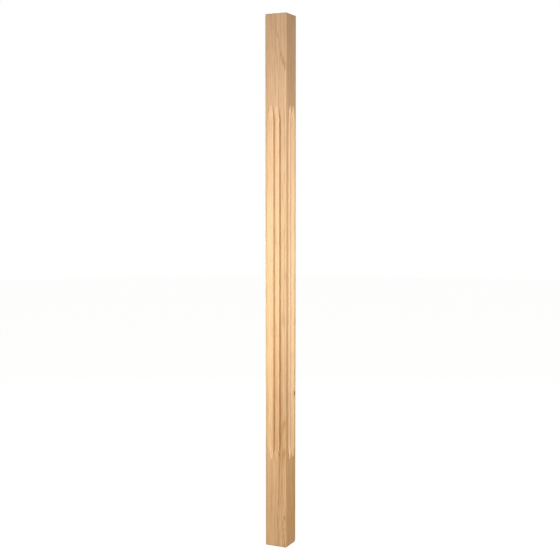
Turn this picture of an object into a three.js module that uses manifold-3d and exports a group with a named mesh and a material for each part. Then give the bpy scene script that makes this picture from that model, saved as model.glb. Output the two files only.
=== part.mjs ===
// A square softwood stair spindle. Its two ends are left plain, where it stands in the base rail
// and the handrail. Between them each of the four sides has a pair of stopped flutes side by side,
// with a rounded ridge between the two that stands lower than the side. Every flute ends in a point
// where the round cutter head was lifted out of the wood.
// Millimetres, +Z up. The origin is the middle of the bottom end, and the front is the -Y side.
import * as THREE from 'three';
import { mergeVertices } from 'three/addons/utils/BufferGeometryUtils.js';
import Module from 'manifold-3d';

// Driving dimensions
const spindleLength = 900;
const section = 38.7; // across the flats of the square
const arrisRadius = 1; // the long edges are eased
const bottomPlain = 151; // from the bottom end to the points of the flutes
const topPlain = 149; // from the top end to the points of the flutes
const frontWidth = 12.3; // of a flute in the front or back, measured in the plane of the side
const frontPitch = 10.5; // between the two flutes of such a pair, less than their width
const sideWidth = 13.5; // of a flute in one of the other two sides
const sidePitch = 11.7;
const fluteDepth = 6;
const fluteBottomRadius = 1.2;
const ridgeRadius = 2.6; // of the ridge between the two flutes of a pair
const pairOffset = 2; // of the pairs: on the front and back towards -X, on the others towards +Y
const cutterRadius = 80; // of the cutter head, out to the bottom of the flutes

// Fineness of the round stretches
const arrisSteps = 3;
const bottomSteps = 4;
const ridgeSteps = 4;
const runOutSteps = 9;

const woodColour = 0xe0b384;
const woodRoughness = 0.62;

// How far the cutter stands clear of the side that it cuts
const cutterClearance = 1;

const wasm = await Module();
wasm.setup();

// A closed indexed mesh as a solid that can be joined and cut.
function solidOf(geometry) {
  return new wasm.Manifold(new wasm.Mesh({
    numProp: 3,
    vertProperties: new Float32Array(geometry.getAttribute('position').array),
    triVerts: new Uint32Array(geometry.getIndex().array),
  }));
}

function geometryOf(solid) {
  const { vertProperties, triVerts } = solid.getMesh();
  const geometry = new THREE.BufferGeometry();
  geometry.setAttribute('position', new THREE.BufferAttribute(vertProperties, 3));
  geometry.setIndex(new THREE.BufferAttribute(triVerts, 1));
  return geometry;
}

// The sawn and planed blank: a square with eased corners, as long as the spindle.
function blank() {
  const half = section / 2;
  const inner = half - arrisRadius;
  const square = new THREE.Shape();
  square.absarc(inner, inner, arrisRadius, 0, Math.PI / 2);
  square.absarc(-inner, inner, arrisRadius, Math.PI / 2, Math.PI);
  square.absarc(-inner, -inner, arrisRadius, Math.PI, 1.5 * Math.PI);
  square.absarc(inner, -inner, arrisRadius, 1.5 * Math.PI, 2 * Math.PI);
  const geometry = new THREE.ExtrudeGeometry(square, {
    depth: spindleLength,
    bevelEnabled: false,
    curveSegments: arrisSteps,
  });
  geometry.deleteAttribute('normal');
  geometry.deleteAttribute('uv');
  return solidOf(mergeVertices(geometry));
}

// The cutter's section for a pair of flutes, as points (across the pair, height above the bottom of
// the flutes), from the left top to the right top. Each flute has a round bottom between two
// straight flanks. The outer flank passes through the lip at the full depth and goes straight on
// above it, so that the flute narrows as the cutter is lifted. The inner flanks run into the ridge.
function cutterSection(width, pitch) {
  const lip = new THREE.Vector2(width / 2, fluteDepth - fluteBottomRadius);
  const flankSlope = lip.angle() + Math.asin(fluteBottomRadius / lip.length());
  const flankBase = fluteBottomRadius * (1 - 1 / Math.cos(flankSlope));
  const crossing = flankBase + Math.tan(flankSlope) * pitch / 2;
  const ridgeCentre = crossing - ridgeRadius / Math.cos(flankSlope);
  const rightHalf = [];
  for (let i = 0; i <= ridgeSteps; i++) {
    const turn = flankSlope * i / ridgeSteps;
    const height = ridgeCentre + ridgeRadius * Math.cos(turn);
    rightHalf.push(new THREE.Vector2(ridgeRadius * Math.sin(turn), height));
  }
  for (let i = 0; i <= bottomSteps; i++) {
    const turn = flankSlope * (2 * i / bottomSteps - 1);
    const across = pitch / 2 + fluteBottomRadius * Math.sin(turn);
    rightHalf.push(new THREE.Vector2(across, fluteBottomRadius * (1 - Math.cos(turn))));
  }
  const topAcross = (pitch + width) / 2 + cutterClearance / Math.tan(flankSlope);
  rightHalf.push(new THREE.Vector2(topAcross, fluteDepth + cutterClearance));
  const leftHalf = rightHalf.slice(1).reverse().map(({ x, y }) => new THREE.Vector2(-x, y));
  return [...leftHalf, ...rightHalf];
}

// Where the cutter goes along the flutes: the height of its axis and the turn of its section about
// that axis. It runs straight between the ends and swings out of the wood at each of them.
function cutterStations() {
  const lowestRadius = cutterRadius - fluteDepth;
  const runOut = Math.sqrt(cutterRadius ** 2 - lowestRadius ** 2);
  const outTurn = Math.acos((lowestRadius - cutterClearance) / cutterRadius);
  const stations = [];
  for (let i = runOutSteps; i >= 0; i--) {
    stations.push({ z: bottomPlain + runOut, turn: -outTurn * i / runOutSteps });
  }
  for (let i = 0; i <= runOutSteps; i++) {
    stations.push({ z: spindleLength - topPlain - runOut, turn: outTurn * i / runOutSteps });
  }
  return stations;
}

// The solid that a pair of flutes takes away, in a side whose face is the plane y = -section / 2,
// with the middle of the pair at the given place across it. The section is carried along the
// flutes, and at each end it swings about the cutter's axis, which stands cutterRadius in front of
// the bottom of the flutes.
function pairCutter(width, pitch, middle) {
  const points = cutterSection(width, pitch);
  const stations = cutterStations();
  const axisY = -section / 2 + fluteDepth - cutterRadius;
  const positions = [];
  for (const { z, turn } of stations) {
    for (const point of points) {
      const radius = cutterRadius - point.y;
      positions.push(middle + point.x, axisY + radius * Math.cos(turn), z + radius * Math.sin(turn));
    }
  }
  const indices = [];
  const count = points.length;
  for (let row = 0; row < stations.length - 1; row++) {
    for (let i = 0; i < count; i++) {
      const a = row * count + i;
      const b = row * count + (i + 1) % count;
      indices.push(a, a + count, b, b, a + count, b + count);
    }
  }
  const lastRow = (stations.length - 1) * count;
  for (const [a, b, c] of THREE.ShapeUtils.triangulateShape(points, [])) {
    indices.push(a, b, c);
    indices.push(lastRow + a, lastRow + c, lastRow + b);
  }
  const geometry = new THREE.BufferGeometry();
  geometry.setAttribute('position', new THREE.Float32BufferAttribute(positions, 3));
  geometry.setIndex(indices);
  return solidOf(geometry);
}

const front = pairCutter(frontWidth, frontPitch, -pairOffset);
const back = pairCutter(frontWidth, frontPitch, pairOffset).rotate([0, 0, 180]);
const right = pairCutter(sideWidth, sidePitch, pairOffset).rotate([0, 0, 90]);
const left = pairCutter(sideWidth, sidePitch, -pairOffset).rotate([0, 0, -90]);
const carved = [front, back, right, left].reduce((solid, pair) => solid.subtract(pair), blank());

const wood = new THREE.MeshStandardMaterial({
  color: woodColour,
  roughness: woodRoughness,
  metalness: 0,
  flatShading: true,
});
const spindle = new THREE.Mesh(geometryOf(carved), wood);
spindle.name = 'spindle';

const part = new THREE.Group();
part.add(spindle);
export default part;
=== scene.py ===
"""A square pine stair spindle, upright on a pale floor.

One piece replaces the plain solid: the same square with its pairs of stopped flutes, but with a
fine surface, softened lips and eased ends. Its pine is a solid pattern, worked out from the
distance to the middle of the tree, so that growth rings run on from the faces to the end grain.
"""

import math

import bpy
import numpy as np
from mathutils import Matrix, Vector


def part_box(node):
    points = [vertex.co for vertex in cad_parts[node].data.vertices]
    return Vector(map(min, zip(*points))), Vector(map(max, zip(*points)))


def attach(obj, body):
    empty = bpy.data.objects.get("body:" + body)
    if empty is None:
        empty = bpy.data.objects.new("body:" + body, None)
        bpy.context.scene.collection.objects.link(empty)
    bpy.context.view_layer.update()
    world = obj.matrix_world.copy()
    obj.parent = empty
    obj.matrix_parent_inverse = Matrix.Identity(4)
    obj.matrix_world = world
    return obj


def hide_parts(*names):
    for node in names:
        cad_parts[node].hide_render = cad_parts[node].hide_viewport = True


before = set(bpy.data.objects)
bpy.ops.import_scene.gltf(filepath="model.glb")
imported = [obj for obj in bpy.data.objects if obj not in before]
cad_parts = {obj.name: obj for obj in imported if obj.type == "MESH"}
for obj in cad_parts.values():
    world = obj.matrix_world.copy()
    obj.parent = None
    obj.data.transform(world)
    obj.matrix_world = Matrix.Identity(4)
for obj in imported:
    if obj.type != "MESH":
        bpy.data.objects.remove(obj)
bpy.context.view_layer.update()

MM = 0.001

# The square comes from the frame, and the flutes have the sizes that the solid has
LOW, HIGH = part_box("spindle")
LENGTH = HIGH.z - LOW.z
HALF = (HIGH.x - LOW.x) / 2
ARRIS_RADIUS = 1.0 * MM
BOTTOM_PLAIN = 151 * MM
TOP_PLAIN = 149 * MM
FRONT_WIDTH = 12.3 * MM
FRONT_PITCH = 10.5 * MM
SIDE_WIDTH = 13.5 * MM
SIDE_PITCH = 11.7 * MM
FLUTE_DEPTH = 6.0 * MM
FLUTE_BOTTOM_RADIUS = 1.2 * MM
RIDGE_RADIUS = 2.6 * MM
PAIR_OFFSET = 2.0 * MM
CUTTER_RADIUS = 80 * MM

# Softness that the solid leaves out
LIP_SOFTNESS = 0.5 * MM
END_EASE = 0.25 * MM

# The bruise on the lower end of the right-hand back arris. Its roughness is a wave, with the
# lengths up and across over which the wave turns by a radian.
BRUISE_REACH = 2.2 * MM
BRUISE_HEIGHT = 6.0 * MM
BRUISE_WAVE = 0.25 * MM
BRUISE_WAVE_UP = 0.9 * MM
BRUISE_WAVE_ACROSS = 0.7 * MM

# Rows of the surface up each half of the spindle: close together near its end, as far as
# NEAR_END, and again from a little short of the flutes' points to just past where the flutes
# reach their full depth
NEAR_END = 8 * MM
SHORT_OF_POINTS = 1.5 * MM
PAST_POINTS = 32 * MM
NEAR_END_ROWS = 13
PLAIN_ROWS = 7
RUN_OUT_ROWS = 65
STRAIGHT_ROWS = 11

# Columns of the surface: on the two margins of each side, over its pair of flutes and a little of
# the flat on either side of them, and round each arris
BESIDE_FLUTES = 0.9 * MM
LEFT_COLUMNS = 4
FLUTE_COLUMNS = 102
RIGHT_COLUMNS = 6
ARRIS_COLUMNS = 6

# How large the rows on an end are, as shares of the square. One more lies at its eased edge.
END_SHARES = (0.25, 0.5, 0.75, 0.9, 0.96)

# The camera, in metres and degrees. An azimuth of 0 looks at the front from -Y.
CAMERA_AZIMUTH = 25.43
CAMERA_TURN = 0.046
CAMERA_DISTANCE = 1.7572
CAMERA_ASIDE = 0.00028
CAMERA_HEIGHT = 0.5993
CAMERA_PITCH = 4.618
CAMERA_LENS = 66.68
CAMERA_SENSOR = 36.0

# The set, in metres. The dome starts a little below the floor, at an angle in radians, and a dim
# warm light comes from all round.
FLOOR_RADIUS = 6.0
DOME_RADIUS = 9.0
DOME_START = -0.2
DOME_ROWS = 24
AMBIENT_COLOUR = (1, 0.76, 0.52, 1)
AMBIENT_STRENGTH = 0.25


# Shape of the spindle


def section_height(across, width, pitch):
    """Height of a pair's section above the bottom of its flutes, at a distance across from the
    middle of the pair. A flank is a straight line with the slope m. It leaves the round bottom of
    its flute, of radius r, at a tangent, so at u from the flute's middle it is at
    m u + r - r sqrt(1 + m^2). The inner flanks run into the ridge, an arc at a tangent to both."""
    radius = FLUTE_BOTTOM_RADIUS
    lip_out = width / 2
    lip_up = FLUTE_DEPTH - radius
    turn = math.atan2(lip_up, lip_out) + math.asin(radius / math.hypot(lip_out, lip_up))
    slope = math.tan(turn)
    across = np.abs(across)
    out = np.abs(across - pitch / 2)
    flank = slope * out + radius - radius / math.cos(turn)
    bottom = radius - np.sqrt(np.maximum(radius**2 - out**2, 0))
    section = np.where(out < radius * math.sin(turn), bottom, flank)
    crossing = slope * pitch / 2 + radius - radius / math.cos(turn)
    ridge = np.sqrt(np.maximum(RIDGE_RADIUS**2 - across**2, 0)) - RIDGE_RADIUS / math.cos(turn)
    return np.where(across < RIDGE_RADIUS * math.sin(turn), crossing + ridge, section)


def pair_depth(across, height, width, pitch):
    """Depth of a side's surface under its plane, across from the middle of its pair of flutes and
    up the spindle. Past the straight run the round cutter head is lifted out, so the depth is
    sqrt((R - section)^2 - x^2) - (R - full depth), where x is how far past it is. Where the cutter
    doesn't reach it is nothing. At the lips it is (d + sqrt(d^2 + k^2)) / 2, with k the softness."""
    lowest = CUTTER_RADIUS - FLUTE_DEPTH
    run_out = math.sqrt(CUTTER_RADIUS**2 - lowest**2)
    below = BOTTOM_PLAIN + run_out - height
    above = height - (LENGTH - TOP_PLAIN - run_out)
    past = np.maximum(np.maximum(below, above), 0)
    reach = np.maximum(CUTTER_RADIUS - section_height(across, width, pitch), 0)
    depth = np.sqrt(np.maximum(reach**2 - past**2, 0)) - lowest
    return (depth + np.sqrt(depth**2 + LIP_SOFTNESS**2)) / 2


def side_columns(middle, zone):
    """Places across one flat side, from one arris to the next: close together over the pair of
    flutes, out to the given distance from its middle, and further apart on the margins."""
    edge = HALF - ARRIS_RADIUS
    return np.concatenate([
        np.linspace(-edge, middle - zone, LEFT_COLUMNS, endpoint=False),
        np.linspace(middle - zone, middle + zone, FLUTE_COLUMNS, endpoint=False),
        np.linspace(middle + zone, edge, RIGHT_COLUMNS),
    ])


def outline(rows_up):
    """The square from above, counter-clockwise from the front left arris: four flats joined by
    quarter circles. Returns the points, their outward normals, and for each height up the
    spindle the depth that the flutes have there."""
    points = []
    normals = []
    depths = []
    pairs = (
        (FRONT_WIDTH, FRONT_PITCH, -PAIR_OFFSET),
        (SIDE_WIDTH, SIDE_PITCH, PAIR_OFFSET),
        (FRONT_WIDTH, FRONT_PITCH, PAIR_OFFSET),
        (SIDE_WIDTH, SIDE_PITCH, -PAIR_OFFSET),
    )
    for side, (width, pitch, middle) in enumerate(pairs):
        flat = side_columns(middle, (width + pitch) / 2 + BESIDE_FLUTES)
        turn = side * math.pi / 2
        along = np.array([math.cos(turn), math.sin(turn)])
        out = np.array([math.sin(turn), -math.cos(turn)])
        points.append(flat[:, None] * along + HALF * out)
        normals.append(np.repeat(out[None], len(flat), axis=0))
        depths.append(pair_depth(flat[None, :] - middle, rows_up[:, None], width, pitch))
        bend = np.linspace(0, math.pi / 2, ARRIS_COLUMNS + 2)[1:-1, None]
        arc = np.cos(bend) * out + np.sin(bend) * along
        centre = (HALF - ARRIS_RADIUS) * (along + out)
        points.append(centre + ARRIS_RADIUS * arc)
        normals.append(arc)
        depths.append(np.zeros((len(rows_up), len(arc))))
    return np.concatenate(points), np.concatenate(normals), np.concatenate(depths, axis=1)


def heights():
    """Heights of the rows up the spindle, each half from its own end and one row in the middle."""
    halves = []
    for plain in (BOTTOM_PLAIN, TOP_PLAIN):
        short = plain - SHORT_OF_POINTS
        full = plain + PAST_POINTS
        halves.append(np.concatenate([
            np.linspace(END_EASE, NEAR_END, NEAR_END_ROWS, endpoint=False),
            np.linspace(NEAR_END, short, PLAIN_ROWS, endpoint=False),
            np.linspace(short, full, RUN_OUT_ROWS, endpoint=False),
            np.linspace(full, LENGTH / 2, STRAIGHT_ROWS, endpoint=False),
        ]))
    return np.concatenate([halves[0], [LENGTH / 2], LENGTH - halves[1][::-1]])


def bruised(points):
    """Presses the lower end of the right-hand back arris in: what stands past a slanting plane
    there is moved back on to it, more or less far as a wave of the place says."""
    slant = np.array([1.0, 1.0, -BRUISE_REACH / BRUISE_HEIGHT])
    start = 2 * HALF - BRUISE_REACH
    wave = np.sin(points[..., 2] / BRUISE_WAVE_UP) * np.sin(points[..., 0] / BRUISE_WAVE_ACROSS)
    past = points @ slant - start + BRUISE_WAVE * wave
    return points - np.maximum(past, 0)[..., None] * slant / (slant @ slant)


def spindle_surface():
    """Rows of points over the whole spindle, from the middle of the bottom end to the middle of
    the top end. A side row is the outline at one height, less the flutes' depth along its
    normals. An end row is the outline drawn in towards the middle."""
    rows_up = heights()
    points, normals, depth = outline(rows_up)
    flat = points[None] - depth[..., None] * normals[None]
    height = np.broadcast_to(rows_up[:, None, None], flat.shape[:2] + (1,))
    sides = np.concatenate([flat, height], axis=2)
    shares = np.append(END_SHARES, (HALF - END_EASE) / HALF)
    end = points[None] * shares[:, None, None]
    bottom = np.concatenate([end, np.zeros(end.shape[:2] + (1,))], axis=2)
    top = np.concatenate([end[::-1], np.full(end.shape[:2] + (1,), LENGTH)], axis=2)
    return bruised(np.concatenate([bottom, sides, top]))


def closed_mesh(name, rows):
    """A mesh object from a grid of points that closes round each row, with the first and the last
    row closed by a fan on to a middle point."""
    count, around = rows.shape[:2]
    index = np.arange(count * around).reshape(count, around)
    beside = np.roll(index, -1, axis=1)
    quads = np.stack([index[:-1], beside[:-1], beside[1:], index[1:]], axis=-1).reshape(-1, 4)
    first = count * around
    bottom_fan = np.stack([beside[0], index[0], np.full(around, first)], axis=-1)
    top_fan = np.stack([index[-1], beside[-1], np.full(around, first + 1)], axis=-1)
    poles = np.array([rows[0].mean(axis=0), rows[-1].mean(axis=0)])
    vertices = np.concatenate([rows.reshape(-1, 3), poles])
    mesh = bpy.data.meshes.new(name)
    mesh.from_pydata(vertices.tolist(), [], quads.tolist() + bottom_fan.tolist() + top_fan.tolist())
    mesh.polygons.foreach_set("use_smooth", np.ones(len(mesh.polygons), bool))
    mesh.validate()
    mesh.update()
    piece = bpy.data.objects.new(name, mesh)
    bpy.context.scene.collection.objects.link(piece)
    return piece


# Pine


class NodeBoard:
    """Puts shader nodes into a material, and gives back the output of the last one."""

    def __init__(self, tree):
        self.tree = tree

    def add(self, kind, inputs=(), output=0, **settings):
        node = self.tree.nodes.new(kind)
        for key, value in settings.items():
            setattr(node, key, value)
        for key, value in dict(inputs).items():
            if isinstance(value, bpy.types.NodeSocket):
                self.tree.links.new(value, node.inputs[key])
            else:
                node.inputs[key].default_value = value
        return node.outputs[output]

    def math(self, operation, *values):
        return self.add("ShaderNodeMath", dict(enumerate(values)), operation=operation)

    def product(self, first, *others):
        for other in others:
            first = self.math("MULTIPLY", first, other)
        return first

    def vector(self, operation, *values, output="Vector"):
        return self.add(
            "ShaderNodeVectorMath", dict(enumerate(values)), output=output, operation=operation
        )

    def scale(self, vector, factor):
        return self.add("ShaderNodeVectorMath", {0: vector, "Scale": factor}, operation="SCALE")

    def parts(self, vector):
        """The x, y and z of a vector."""
        return self.add("ShaderNodeSeparateXYZ", {0: vector}).node.outputs

    def noise(self, place, across, along, detail=2.0, roughness=0.5):
        """Noise with so many waves in a millimetre across the grain and along it."""
        stretched = self.vector("MULTIPLY", place, (across, across, along))
        return self.add(
            "ShaderNodeTexNoise",
            {"Vector": stretched, "Scale": 1.0, "Detail": detail, "Roughness": roughness},
        )

    def range(self, value, low, high, to=(0.0, 1.0), smooth=False):
        """Carries low to high over to the two ends of the new range, and stops there."""
        return self.add(
            "ShaderNodeMapRange",
            {"Value": value, "From Min": low, "From Max": high, "To Min": to[0], "To Max": to[1]},
            interpolation_type="SMOOTHSTEP" if smooth else "LINEAR",
        )

    def mix(self, share, first, second, blend="MIX"):
        """Mixes two colours. The node keeps these on sockets 6 and 7, and the result on 2."""
        return self.add(
            "ShaderNodeMix", {0: share, 6: first, 7: second}, 2, data_type="RGBA", blend_type=blend
        )

    def tint(self, share, colour, tint):
        return self.mix(share, colour, tint, blend="MULTIPLY")

    def curve(self, value, points):
        """A smooth curve through given points, each (0 to 1, 0 to 1)."""
        node = self.tree.nodes.new("ShaderNodeFloatCurve")
        line = node.mapping.curves[0]
        line.points[0].location = points[0]
        line.points[-1].location = points[-1]
        for place in points[1:-1]:
            line.points.new(*place)
        node.mapping.update()
        self.tree.links.new(value, node.inputs["Value"])
        return node.outputs[0]


# Lengths in the pine are in millimetres. A pair whose name ends in FADE says where a mark is
# nothing and where it is full.

# The tree: its pith passed just outside the right-hand back arris
PITH_X = 16.5
PITH_Y = 22.0
RING_SPACING = 2.0
RING_FLUTTER = 0.45

# Rings are counted from 0 at the pith. Their drift up the spindle is how far they move towards the
# pith, as (height, drift). Ring 21 ends 2.65 beyond the front side, so where the drift passes 2.65
# its edge comes to a point beside the near arris. Ring 20 does so where the drift passes 0.65.
RING_DRIFT = (
    (0, 0.55), (12, 0.60), (24, 0.63), (34, 0.46), (42, 0.40), (50, 0.46), (58, 0.60), (68, 0.74),
    (105, 1.3), (145, 1.5), (180, 1.75), (205, 2.2), (225, 2.65), (290, 2.95), (364, 2.65),
    (388, 2.42), (415, 2.6), (450, 2.7), (600, 2.75), (720, 2.65), (765, 2.9), (795, 2.85),
    (813, 2.5), (835, 1.85), (866, 0.33), (892, -1.97), (900, -2.8),
)
DRIFT_LIMIT = 4.0

# The late wood starts and is full at these shares of a ring. How strong it is differs from ring to
# ring, by the sine of RING_TURN times the ring plus RING_START, and from height to height.
LATE_START = 0.7
LATE_FULL = 0.95
RING_TURN = 1.1
RING_START = 3.6
WEAKEST_RING = 0.35
LATE_STRENGTH = (
    (0, 1.0), (150, 1.0), (205, 0.7), (364, 0.5), (450, 0.6), (700, 0.7), (900, 0.75),
)

# Near the foot the late wood of ring 20 starts late, so that it draws the outline of a lens where
# it comes to the front side, and ring 21 has a false ring, a second fine line
LENS_RING = 20
LENS_DELAY = 0.225
LENS_FADE = (120, 90)
FALSE_RING = 21
FALSE_RING_RISE = (0.45, 0.52)
FALSE_RING_FALL = (0.53, 0.56)
FALSE_RING_STRENGTH = 0.8
FALSE_RING_FADE = (200, 160)

# Near the top rings 19 and 20, the two on either side of FAINT_RINGS, are faint
FAINT_RINGS = 19.5
FAINT_STRENGTH = 0.15
FAINT_FADE = (780, 840)

# How pale the wood is, as (height, tone), within limits. The rise over the lowest 30 mm is
# painted light: the glow that a pale floor would throw up on to the foot.
WOOD_TONE_AND_PAINTED_BOUNCE = (
    (0, 1.03), (30, 1.0), (72, 0.96), (150, 0.95), (205, 0.94), (300, 0.96), (380, 0.99),
    (530, 1.01), (700, 1.0), (745, 0.995), (806, 0.975), (867, 0.95), (900, 0.97),
)
TONE_LIMITS = (0.8, 1.2)

# A band of rings is darker, between these distances from the pith, each with its own softness
DARK_BAND_IN = 37.5
DARK_BAND_IN_SOFTNESS = 2.5
DARK_BAND_OUT = 44.5
DARK_BAND_OUT_SOFTNESS = 1.5
DARK_BAND_STRENGTH = (
    (0, 0.0), (60, 0.15), (130, 0.8), (205, 1.0), (285, 0.9), (380, 0.55), (520, 0.3), (700, 0.0),
    (900, 0.0),
)

# A pin knot on the right-hand back arris: a point that it grew through, the way that it grew, its
# radius, its heart and halo as shares of that, how much a height counts, and how far the rings
# swell out round it, less by a share with each millimetre
KNOT_PLACE = (19.0, 18.2, 261.0)
KNOT_WAY = (0.75, -0.65, 0.12)
KNOT_RADIUS = 3.6
KNOT_HEART = 0.8
KNOT_HALO = 2.6
KNOT_HALO_STRENGTH = 0.35
KNOT_SQUASH = (1, 1, 0.72)
KNOT_SWELLING = 2.5
KNOT_SWELLING_LOSS = 0.45

# A grey smudge along the lower edge of the right-hand side, out to the bruised arris
SMUDGE_PLACE = (19.35, 19.35, 0.0)
SMUDGE_SQUASH = (1, 0.38, 1)
SMUDGE_REACH = 10.0
SMUDGE_FULL = 0.5

# The greyer line along the sawn edges, soil in the torn fibres and painted shade that they would
# cast, by the distance from the end, and how much a surface faces up or down where it is end grain
SAWN_EDGE_SOIL_AND_SHADE_FADE = (1.8, 0.54)
END_FACING_FADE = (0.75, 0.95)

EARLY_WOOD = (0.715, 0.495, 0.306, 1)
LATE_WOOD = (0.46, 0.24, 0.11, 1)
DARKEST_WOOD = (0.27, 0.13, 0.055, 1)
DEEP_WOOD = (0.63, 0.40, 0.22, 1)
KNOT_WOOD = (0.20, 0.085, 0.04, 1)
SMUDGE_GREY = (0.66, 0.525, 0.41, 1)
DARK_BAND_TINT = (0.87, 0.81, 0.74, 1)
SAWN_EDGE_SOIL_AND_SHADE_TINT = (0.84, 0.84, 0.86, 1)
END_TINT = (0.86, 0.78, 0.68, 1)
# The colour is more golden towards the bottom and more like straw towards the middle. The lower end
# of the right-hand side is warmer and brighter: painted light, as if more light came from the right
# there
HONEY_TINT = (1.02, 1.0, 0.89, 1)
HONEY_FADE = (500, 0)
STRAW_TINT = (0.982, 1.01, 0.968, 1)
STRAW_LOW_FADE = (160, 320)
STRAW_HIGH_FADE = (790, 580)
# Painted light: the foot of the right-hand side made warmer and brighter
RIGHT_FOOT_PAINTED_LIGHT_TINT = (1.09, 1.04, 0.96, 1)
RIGHT_FOOT_PAINTED_LIGHT_SIDE_FADE = (18.4, 19.3)
RIGHT_FOOT_PAINTED_LIGHT_HEIGHT_FADE = (250, 80)

# How much the resin ducts darken the wood
DUCT_DARKNESS = 0.14

# The surface: its roughness, how much smoother the late wood is, its gloss, and its relief, with
# the shares that the late wood and the fibres stand proud and the ducts are sunk
ROUGHNESS = 0.62
LATE_SMOOTHNESS = 0.1
GLOSS = 0.35
RELIEF = 0.06
RELIEF_STRENGTH = 0.5
LATE_PROUD = 0.5
FIBRES_PROUD = 0.8
DUCTS_SUNK = 0.6


def height_curve(board, z, values, low, high):
    """A smooth curve of the height up the spindle, through given (height, value) pairs that
    lie between the two limits."""
    top = LENGTH / MM
    points = [(height / top, (value - low) / (high - low)) for height, value in values]
    return board.range(board.curve(board.math("DIVIDE", z, top), points), 0, 1, to=(low, high))


def pith_distance(board, x, y):
    """Millimetres from the pith, which runs straight up."""
    across = board.math("SUBTRACT", x, PITH_X)
    deep = board.math("SUBTRACT", y, PITH_Y)
    away = board.add("ShaderNodeCombineXYZ", {0: across, 1: deep})
    return board.vector("LENGTH", away, output="Value")


def knot_distance(board, place):
    """Millimetres from the line that the knot grew along, counting less up and down, so that
    the knot is a little taller than it is wide."""
    squashed = board.vector("MULTIPLY", board.vector("SUBTRACT", place, KNOT_PLACE), KNOT_SQUASH)
    across = board.vector("CROSS_PRODUCT", squashed, KNOT_WAY)
    return board.vector("LENGTH", across, output="Value")


def ring_count(board, place, from_pith, z):
    """How many rings lie between a point and the pith: the distance to the pith line in rings,
    with the drift up the spindle, a slight flutter, and a swelling round the knot."""
    drift = height_curve(board, z, RING_DRIFT, -DRIFT_LIMIT, DRIFT_LIMIT)
    flutter = board.noise(place, across=0.35, along=0.016)
    flutter = board.range(flutter, 0, 1, to=(-RING_FLUTTER, RING_FLUTTER))
    loss = board.math("MULTIPLY", knot_distance(board, place), -KNOT_SWELLING_LOSS)
    distance = board.math("ADD", from_pith, drift)
    distance = board.math("ADD", distance, flutter)
    distance = board.math("MULTIPLY_ADD", board.math("EXPONENT", loss), KNOT_SWELLING, distance)
    return board.math("DIVIDE", distance, RING_SPACING)


def late_wood(board, place, from_pith, z):
    """How much of the wood is late wood, from 0 to 1. It rises slowly through each ring and ends
    at a sharp edge, and the false ring is added to it."""
    rings = ring_count(board, place, from_pith, z)
    ring = board.math("FLOOR", rings)
    through = board.math("FRACT", rings)
    lens = board.product(board.math("COMPARE", ring, LENS_RING, 0.5), board.range(z, *LENS_FADE))
    start = board.math("MULTIPLY_ADD", lens, LENS_DELAY, LATE_START)
    strength = board.math("SINE", board.math("MULTIPLY_ADD", ring, RING_TURN, RING_START))
    faint = board.math("COMPARE", ring, FAINT_RINGS, 0.6)
    faint = board.product(faint, board.range(z, *FAINT_FADE))
    late = board.product(
        board.range(through, start, LATE_FULL, smooth=True),
        board.range(through, LATE_FULL, 1, to=(1, 0), smooth=True),
        board.range(strength, -1, 1, to=(WEAKEST_RING, 1)),
        height_curve(board, z, LATE_STRENGTH, 0, 1),
        board.range(faint, 0, 1, to=(1, FAINT_STRENGTH)),
    )
    false_ring = board.product(
        board.math("COMPARE", ring, FALSE_RING, 0.5),
        board.range(through, *FALSE_RING_RISE, smooth=True),
        board.range(through, *FALSE_RING_FALL, to=(1, 0)),
        board.range(z, *FALSE_RING_FADE, to=(0, FALSE_RING_STRENGTH)),
    )
    return board.math("MAXIMUM", late, false_ring)


def grain_colour(board, place, late):
    """The colour of the rings, darkest where the late wood is fullest, with soft streaks along
    the grain and shorter strokes over it."""
    colour = board.mix(late, EARLY_WOOD, LATE_WOOD)
    colour = board.mix(board.range(late, 0.7, 1, to=(0, 0.6)), colour, DARKEST_WOOD)
    streaks = board.noise(place, across=0.42, along=0.0045, detail=3.0)
    colour = board.mix(board.range(streaks, 0.42, 0.72, to=(0, 0.75)), colour, DEEP_WOOD)
    strokes = board.noise(place, across=0.7, along=0.028)
    return board.mix(board.range(strokes, 0.5, 0.75, to=(0, 0.5)), colour, LATE_WOOD)


def brightness(board, place, z, fibres, ducts):
    """What the colour is multiplied by: fine fibres, dark resin ducts, wide soft bands along the
    grain, and the tone up the spindle, with painted bounce light from the floor on the foot."""
    fine = board.range(fibres, 0.3, 0.7, to=(0.88, 1.09))
    fine = board.math("MULTIPLY_ADD", ducts, -DUCT_DARKNESS, fine)
    bands = board.noise(place, across=0.17, along=0.004)
    bands = board.range(bands, 0.35, 0.65, to=(0.95, 1.05))
    # The tone up the spindle brightens the foot with painted bounce light from the floor
    return board.product(fine, bands, height_curve(board, z, WOOD_TONE_AND_PAINTED_BOUNCE, *TONE_LIMITS))


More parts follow.
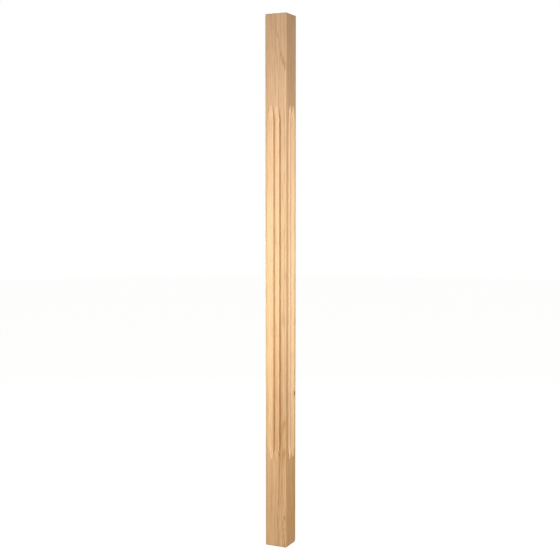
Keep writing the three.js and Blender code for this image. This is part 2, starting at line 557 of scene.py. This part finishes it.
def tinted(board, colour, x, z, from_pith):
    """The colour with the tints that change along the spindle, painted light on the foot of the
    right-hand side among them, and with the dark band.
    """
    colour = board.tint(board.range(z, *HONEY_FADE), colour, HONEY_TINT)
    straw_low = board.range(z, *STRAW_LOW_FADE)
    straw_high = board.range(z, *STRAW_HIGH_FADE)
    colour = board.tint(board.math("MINIMUM", straw_low, straw_high), colour, STRAW_TINT)
    # Painted light on the foot of the right-hand side, as if more light came from the right there
    right_foot_painted_light = board.product(board.range(x, *RIGHT_FOOT_PAINTED_LIGHT_SIDE_FADE), board.range(z, *RIGHT_FOOT_PAINTED_LIGHT_HEIGHT_FADE))
    colour = board.tint(right_foot_painted_light, colour, RIGHT_FOOT_PAINTED_LIGHT_TINT)
    outer = DARK_BAND_OUT + DARK_BAND_OUT_SOFTNESS
    outer_full = DARK_BAND_OUT - DARK_BAND_OUT_SOFTNESS
    inner = DARK_BAND_IN - DARK_BAND_IN_SOFTNESS
    inner_full = DARK_BAND_IN + DARK_BAND_IN_SOFTNESS
    band = board.product(
        board.range(from_pith, outer, outer_full, smooth=True),
        board.range(from_pith, inner, inner_full, smooth=True),
        height_curve(board, z, DARK_BAND_STRENGTH, 0, 1),
    )
    return board.tint(band, colour, DARK_BAND_TINT)


def knotted(board, colour, place):
    """The colour with the dark heart of the knot and a weaker halo round it."""
    from_knot = knot_distance(board, place)
    heart = board.range(from_knot, KNOT_RADIUS, KNOT_RADIUS * KNOT_HEART, smooth=True)
    colour = board.mix(heart, colour, KNOT_WOOD)
    halo = board.range(from_knot, KNOT_RADIUS * KNOT_HALO, KNOT_RADIUS, smooth=True)
    return board.mix(board.product(halo, KNOT_HALO_STRENGTH), colour, LATE_WOOD)


def smudged(board, colour, place):
    """The colour with the grey smudge, longer along the lower edge than it is tall and patchy."""
    away = board.vector("SUBTRACT", place, SMUDGE_PLACE)
    away = board.vector("MULTIPLY", away, SMUDGE_SQUASH)
    away = board.vector("LENGTH", away, output="Value")
    smudge = board.range(away, SMUDGE_REACH, SMUDGE_REACH * SMUDGE_FULL, smooth=True)
    patches = board.noise(place, across=0.6, along=0.4)
    patches = board.range(patches, 0.4, 0.56, to=(0.25, 1))
    return board.mix(board.product(smudge, patches), colour, SMUDGE_GREY)


def sawn(board, colour, place, z, upward):
    """The colour with a greyer line along the sawn edges, soil in the torn fibres and painted shade
    that they would cast, and darker, with fine pores, on the end grain, where the surface faces up
    or down."""
    from_end = board.math("MINIMUM", z, board.math("SUBTRACT", LENGTH / MM, z))
    # Soil and painted shade in the torn fibres along the sawn edges
    colour = board.tint(board.range(from_end, *SAWN_EDGE_SOIL_AND_SHADE_FADE), colour, SAWN_EDGE_SOIL_AND_SHADE_TINT)
    end_grain = board.range(board.math("ABSOLUTE", upward), *END_FACING_FADE, smooth=True)
    pores = board.noise(place, across=2.2, along=2.2, detail=4.0)
    pores = board.range(pores, 0.35, 0.65, to=(0.82, 1))
    return board.mix(end_grain, colour, board.scale(board.tint(1.0, colour, END_TINT), pores))


def pine():
    """Planed pine, as bare wood. Each ring is pale early wood that darkens slowly to late wood.
    Over the rings lie streaks, strokes, fine fibres, resin ducts, tints that change along the
    spindle, a knot and a smudge, and the ends are sawn. The foot is a little brighter and the foot
    of the right-hand side warmer and brighter, both painted light, and the sawn edges hold painted
    shade beside soil. The late wood is a little smoother and, with the fibres, stands proud, and
    the ducts are hollows."""
    material = bpy.data.materials.new("pine")
    material.use_nodes = True
    board = NodeBoard(material.node_tree)
    texture = board.tree.nodes.new("ShaderNodeTexCoord")
    place = board.scale(texture.outputs["Object"], 1 / MM)
    x, y, z = board.parts(place)
    upward = board.parts(texture.outputs["Normal"])[2]

    from_pith = pith_distance(board, x, y)
    late = late_wood(board, place, from_pith, z)
    fibres = board.noise(place, across=3.6, along=0.05, detail=3.0, roughness=0.65)
    ducts = board.noise(place, across=2.6, along=0.09, detail=1.0)
    ducts = board.range(ducts, 0.66, 0.74, smooth=True)

    bright = brightness(board, place, z, fibres, ducts)
    colour = board.scale(grain_colour(board, place, late), bright)
    colour = tinted(board, colour, x, z, from_pith)
    colour = knotted(board, colour, place)
    colour = smudged(board, colour, place)
    colour = sawn(board, colour, place, z, upward)

    relief = board.math("MULTIPLY", fibres, FIBRES_PROUD)
    relief = board.math("MULTIPLY_ADD", late, LATE_PROUD, relief)
    relief = board.math("MULTIPLY_ADD", ducts, -DUCTS_SUNK, relief)
    bump = board.add(
        "ShaderNodeBump",
        {"Height": relief, "Strength": RELIEF_STRENGTH, "Distance": RELIEF * MM},
    )

    shader = board.tree.nodes["Principled BSDF"]
    board.tree.links.new(colour, shader.inputs["Base Color"])
    roughness = board.math("MULTIPLY_ADD", late, -LATE_SMOOTHNESS, ROUGHNESS)
    board.tree.links.new(roughness, shader.inputs["Roughness"])
    board.tree.links.new(bump, shader.inputs["Normal"])
    shader.inputs["Specular IOR Level"].default_value = GLOSS
    return material


def spindle():
    """The whole spindle, in pine."""
    piece = closed_mesh("fluted_spindle", spindle_surface())
    piece.data.materials.append(pine())
    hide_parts("spindle")
    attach(piece, "root")


# Stage


def at_azimuth(azimuth, distance, height, aside=0.0):
    """A place so far from the spindle's axis, at an azimuth in degrees, and a little to the right
    of it as seen from there."""
    turn = math.radians(azimuth)
    x = distance * math.sin(turn) + aside * math.cos(turn)
    y = -distance * math.cos(turn) + aside * math.sin(turn)
    return (x, y, height)


def camera():
    """The photograph's viewpoint: from the right of the front, a little above the middle."""
    data = bpy.data.cameras.new("camera")
    data.sensor_fit = "HORIZONTAL"
    data.sensor_width = CAMERA_SENSOR
    data.lens = CAMERA_LENS
    view = bpy.data.objects.new("camera", data)
    view.location = at_azimuth(CAMERA_AZIMUTH, CAMERA_DISTANCE, CAMERA_HEIGHT, CAMERA_ASIDE)
    turn = math.radians(CAMERA_AZIMUTH + CAMERA_TURN)
    view.rotation_euler = (math.pi / 2 - math.radians(CAMERA_PITCH), 0, turn)
    bpy.context.scene.collection.objects.link(view)
    bpy.context.scene.camera = view


def square_light(name, size, power, location, turn=(0, 0, 0)):
    """A square soft light that the camera doesn't see. Unturned it looks straight down."""
    data = bpy.data.lights.new(name, "AREA")
    data.shape = "SQUARE"
    data.size = size
    data.energy = power
    lamp = bpy.data.objects.new(name, data)
    lamp.location = location
    lamp.rotation_euler = turn
    lamp.visible_camera = False
    bpy.context.scene.collection.objects.link(lamp)


def soft_box(name, azimuth, distance, height, size, power):
    """A soft light that faces the spindle's axis at its own height."""
    location = at_azimuth(azimuth, distance, height)
    square_light(name, size, power, location, turn=(math.pi / 2, 0, math.radians(azimuth)))


def paper_white(name, glow, albedo):
    """White paper that is lit through from behind, so that shadows on it stay faint."""
    material = bpy.data.materials.new(name)
    material.use_nodes = True
    shader = material.node_tree.nodes["Principled BSDF"]
    shader.inputs["Base Color"].default_value = (albedo, albedo, albedo, 1)
    shader.inputs["Roughness"].default_value = 1.0
    shader.inputs["Specular IOR Level"].default_value = 0.0
    shader.inputs["Emission Color"].default_value = (1, 1, 1, 1)
    shader.inputs["Emission Strength"].default_value = glow
    return material


def stage_surface(name, rows, material):
    """Part of the set, made from a grid of points. It is seen by the camera alone and takes
    shadows, but throws no light back on the spindle."""
    count, across = rows.shape[:2]
    index = np.arange(count * across).reshape(count, across)
    quads = np.stack([index[:-1, :-1], index[:-1, 1:], index[1:, 1:], index[1:, :-1]], axis=-1)
    mesh = bpy.data.meshes.new(name)
    mesh.from_pydata(rows.reshape(-1, 3).tolist(), [], quads.reshape(-1, 4).tolist())
    mesh.materials.append(material)
    surface = bpy.data.objects.new(name, mesh)
    surface.visible_diffuse = False
    surface.visible_glossy = False
    surface.visible_shadow = False
    bpy.context.scene.collection.objects.link(surface)


def ring_of_points(radii, levels, steps=64):
    """Circles of the given radii at the given heights, one row each, closed round."""
    turn = np.linspace(0, 2 * math.pi, steps + 1)
    radii = np.asarray(radii, float)[:, None]
    x = radii * np.cos(turn)
    y = radii * np.sin(turn)
    z = np.broadcast_to(np.asarray(levels, float)[:, None], x.shape)
    return np.stack([x, y, z], axis=-1)


def stage():
    """A round pale floor inside a white dome. A soft key light stands to the right of the front
    and a weak low one to its left, which fills the flutes. One from behind lights the far sides
    and one above the top end, and a dim warm light comes from all round."""
    floor = ring_of_points([0.0, FLOOR_RADIUS], [LOW.z, LOW.z])
    stage_surface("floor", floor, paper_white("floor_paper", glow=0.97, albedo=0.08))
    rise = np.linspace(DOME_START, math.pi / 2, DOME_ROWS)
    dome = ring_of_points(DOME_RADIUS * np.cos(rise), DOME_RADIUS * np.sin(rise))
    stage_surface("dome", dome, paper_white("dome_paper", glow=1.0, albedo=0.0))
    soft_box("key_light", azimuth=33, distance=0.66, height=0.46, size=0.35, power=6.4)
    soft_box("fill_light", azimuth=-68, distance=0.8, height=0.2, size=0.3, power=0.85)
    soft_box("rear_light", azimuth=205, distance=1.6, height=0.6, size=0.9, power=16.0)
    square_light("top_light", size=0.8, power=12.0, location=(0, 0, 2.2))
    world = bpy.data.worlds.new("world")
    world.use_nodes = True
    background = world.node_tree.nodes["Background"]
    background.inputs["Color"].default_value = AMBIENT_COLOUR
    background.inputs["Strength"].default_value = AMBIENT_STRENGTH
    bpy.context.scene.world = world
    bpy.context.scene.view_settings.view_transform = "Standard"


camera()
spindle()
stage()
